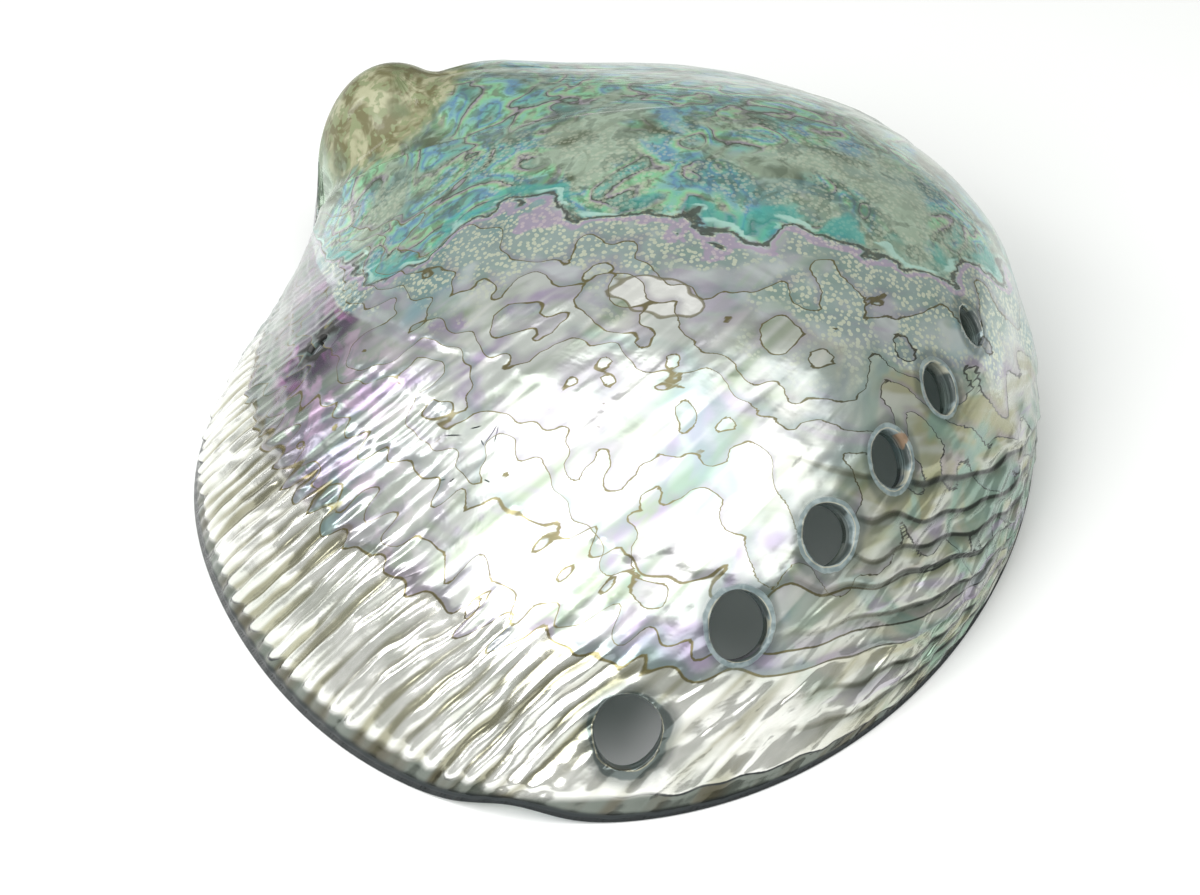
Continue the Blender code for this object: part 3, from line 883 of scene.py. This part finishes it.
stage = {
    "floorSize": 3.0,
    "floorColour": "#f4f4f4",
    "floorGlow": 0.035,
    "elevation": 40.9,
    "distance": 0.352,
    "lens": 2544 * 36 / 1200,
    "target": (-1.9, -19.9, 15.0),
    "lightAim": (0, 0, 0.02),
    # place, size and power
    "lights": {"topSoftbox": ((-0.04, -0.20, 0.64), (1.2, 0.60), 4.6),
               "frontSoftbox": ((-0.34, -0.46, 0.44), (0.40, 0.30), 2.4),
               "leftSoftbox": ((-0.60, 0.15, 0.30), (0.12, 0.30), 0.7)},
    "airColour": "#f1f4ee",
    "airStrength": 0.38,
}

bpy.ops.object.select_all(action="DESELECT")
bpy.ops.mesh.primitive_plane_add(size=stage["floorSize"], location=(0, 0, -0.0002))
floor = bpy.context.object
floor.name = "floor"
floorMat = bpy.data.materials.new("whitePaper")
floorMat.use_nodes = True
floorShader = floorMat.node_tree.nodes["Principled BSDF"]
floorShader.inputs["Base Color"].default_value = colour(stage["floorColour"])
floorShader.inputs["Roughness"].default_value = 0.9
floorShader.inputs["Emission Color"].default_value = (0.8, 1.0, 0.92, 1.0)
floorShader.inputs["Emission Strength"].default_value = stage["floorGlow"]
floor.data.materials.append(floorMat)

for name, (place, size, power) in stage["lights"].items():
    bpy.ops.object.light_add(type="AREA", location=place)
    lamp = bpy.context.object
    lamp.name = name
    lamp.data.shape = "RECTANGLE"
    lamp.data.size, lamp.data.size_y = size
    lamp.data.energy = power
    lamp.rotation_euler = (Vector(stage["lightAim"]) - Vector(place)).to_track_quat("-Z", "Y").to_euler()

world = bpy.data.worlds.new("studioAir")
bpy.context.scene.world = world
world.use_nodes = True
world.node_tree.nodes["Background"].inputs["Color"].default_value = colour(stage["airColour"])
world.node_tree.nodes["Background"].inputs["Strength"].default_value = stage["airStrength"]

up = math.radians(stage["elevation"])
aim = (np.array(stage["target"]) + shift) * mm
camPlace = aim + np.array([0, -math.cos(up), math.sin(up)]) * stage["distance"]
bpy.ops.object.camera_add(location=camPlace, rotation=(math.radians(90) - up, 0, 0))
camera = bpy.context.object
camera.data.lens = stage["lens"]
camera.data.sensor_width = 36
camera.data.clip_start = 0.01
bpy.context.scene.camera = camera
bpy.context.scene.view_settings.view_transform = "Standard"
print("stage made")
